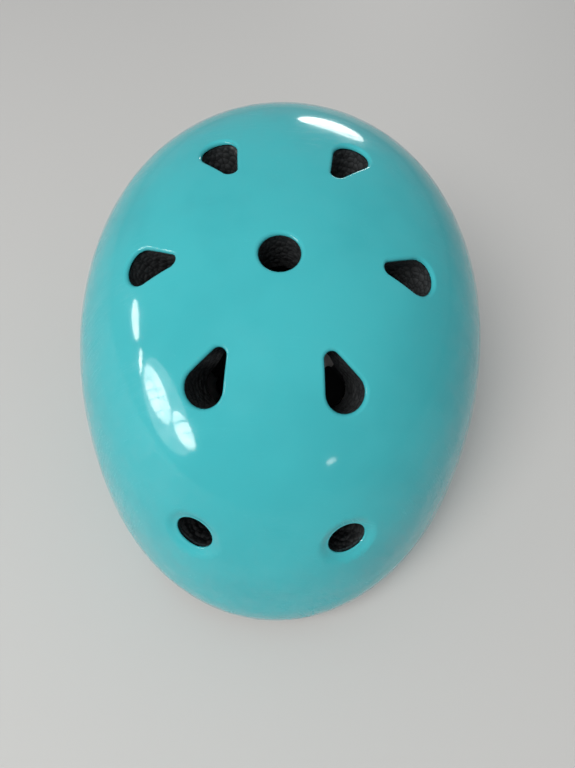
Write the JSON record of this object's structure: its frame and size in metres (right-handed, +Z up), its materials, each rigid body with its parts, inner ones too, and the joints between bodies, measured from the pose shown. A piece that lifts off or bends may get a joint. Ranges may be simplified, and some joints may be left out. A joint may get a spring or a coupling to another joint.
{
  "type": "bicycle helmet",
  "caption": "Hard-shell bicycle helmet with round and teardrop vents, foam liner, comfort pads, chin straps with a side-release buckle, and a dial-adjusted head band.",
  "frame": {"origin": "middle of the helmet's footprint, level with the side rims that it rests on", "axes": "+Y from the brow to the nape, +X to the wearer's left, +Z up to the crown"},
  "size_m": [0.216, 0.2657, 0.1615],
  "materials": {
    "shell_teal": "smooth injection-moulded shell with a high gloss and faint handling scratches",
    "foam_black": "black expanded foam with a fine bead texture",
    "pad_fabric": "brushed dark grey knit over soft foam",
    "webbing": "black woven nylon webbing",
    "plastic_black": "fine textured black moulded plastic",
    "hook_fabric": "short nylon hooks",
    "spring_steel": "plain bright steel"
  },
  "bodies": {
    "helmet": {"outer_shell": "shell_teal", "eps_liner": "foam_black", "front_pad": "pad_fabric", "rear_pad": "pad_fabric", "crown_pad": "pad_fabric", "side_pad_left": "pad_fabric", "side_pad_right": "pad_fabric", "hook_dots": "hook_fabric", "strap_anchor_front_left": "plastic_black", "strap_anchor_rear_left": "plastic_black", "strap_anchor_front_right": "plastic_black", "strap_anchor_rear_right": "plastic_black", "dial_housing": "plastic_black", "dial_cover": "plastic_black", "cover_screws": "spring_steel", "detent_spring": "spring_steel", "band_arm_left": "plastic_black", "band_arm_right": "plastic_black", "temple_plug_left": "plastic_black", "temple_plug_right": "plastic_black", "cradle_pad": "pad_fabric"},
    "strap_v_left": {"front_strap_left": "webbing", "rear_strap_left": "webbing", "strap_divider_left": "plastic_black"},
    "chin_left": {"chin_strap_left": "webbing"},
    "socket": {"buckle_socket": "plastic_black"},
    "strap_v_right": {"front_strap_right": "webbing", "rear_strap_right": "webbing", "strap_divider_right": "plastic_black"},
    "chin_right": {"chin_strap_right": "webbing", "strap_tail": "webbing"},
    "keeper": {"strap_keeper": "plastic_black"},
    "plug": {"buckle_plug": "plastic_black"},
    "prong_inner": {"buckle_prong_inner": "plastic_black"},
    "prong_outer": {"buckle_prong_outer": "plastic_black"},
    "dial": {"dial_pinion": "plastic_black", "dial_knob": "plastic_black"},
    "rack_left": {"rack_left": "plastic_black"},
    "rack_right": {"rack_right": "plastic_black"}
  },
  "joints": [
    {"name": "left_straps_swing", "type": "hinge", "parent": "helmet", "child": "strap_v_left", "pos_m": [0.078, 0, 0.0042], "axis": [0, -1, 0], "range_deg": [0, 88]},
    {"name": "right_straps_swing", "type": "hinge", "parent": "helmet", "child": "strap_v_right", "pos_m": [-0.078, 0, 0.0042], "axis": [0, 1, 0], "range_deg": [0, 88]},
    {"name": "left_chin_fold", "type": "hinge", "parent": "strap_v_left", "child": "chin_left", "pos_m": [0.016, 0.012, 0.0036], "axis": [-0.7071, -0.7071, 0], "range_deg": [0, 115]},
    {"name": "right_chin_fold", "type": "hinge", "parent": "strap_v_right", "child": "chin_right", "pos_m": [-0.016, 0.012, 0.0036], "axis": [-0.7071, 0.7071, 0], "range_deg": [0, 115]},
    {"name": "socket_swivel", "type": "hinge", "parent": "chin_left", "child": "socket", "pos_m": [0.016, -0.058, 0.0042], "axis": [-1, 0, 0], "range_deg": [0, 40]},
    {"name": "plug_swivel", "type": "hinge", "parent": "chin_right", "child": "plug", "pos_m": [-0.016, -0.058, 0.0042], "axis": [-1, 0, 0], "range_deg": [0, 40]},
    {"name": "inner_prong_press", "type": "hinge", "parent": "plug", "child": "prong_inner", "pos_m": [-0.0076, -0.071, 0.0042], "axis": [0, 0, -1], "range_deg": [0, 7], "stiffness_Nm_per_rad": 0.05},
    {"name": "outer_prong_press", "type": "hinge", "parent": "plug", "child": "prong_outer", "pos_m": [-0.0244, -0.071, 0.0042], "axis": [0, 0, 1], "range_deg": [0, 7], "stiffness_Nm_per_rad": 0.05},
    {"name": "keeper_slide", "type": "slide", "parent": "chin_right", "child": "keeper", "axis": [0, -1, 0], "range_m": [0, 0.01]},
    {"name": "dial_turn", "type": "hinge", "parent": "helmet", "child": "dial", "pos_m": [0, 0.077, 0.024], "axis": [0, -1, 0], "range_deg": [0, 114.5]},
    {"name": "left_rack_slide", "type": "slide", "parent": "helmet", "child": "rack_left", "axis": [-1, 0, 0], "range_m": [0, 0.012], "deforming": ["band_arm_left"]},
    {"name": "right_rack_slide", "type": "slide", "parent": "helmet", "child": "rack_right", "axis": [1, 0, 0], "range_m": [0, 0.012], "deforming": ["band_arm_right"]}
  ],
  "couplings": [
    {"joint": "left_rack_slide", "follows": "dial_turn", "m_per_rad": 0.006},
    {"joint": "right_rack_slide", "follows": "dial_turn", "m_per_rad": 0.006}
  ]
}
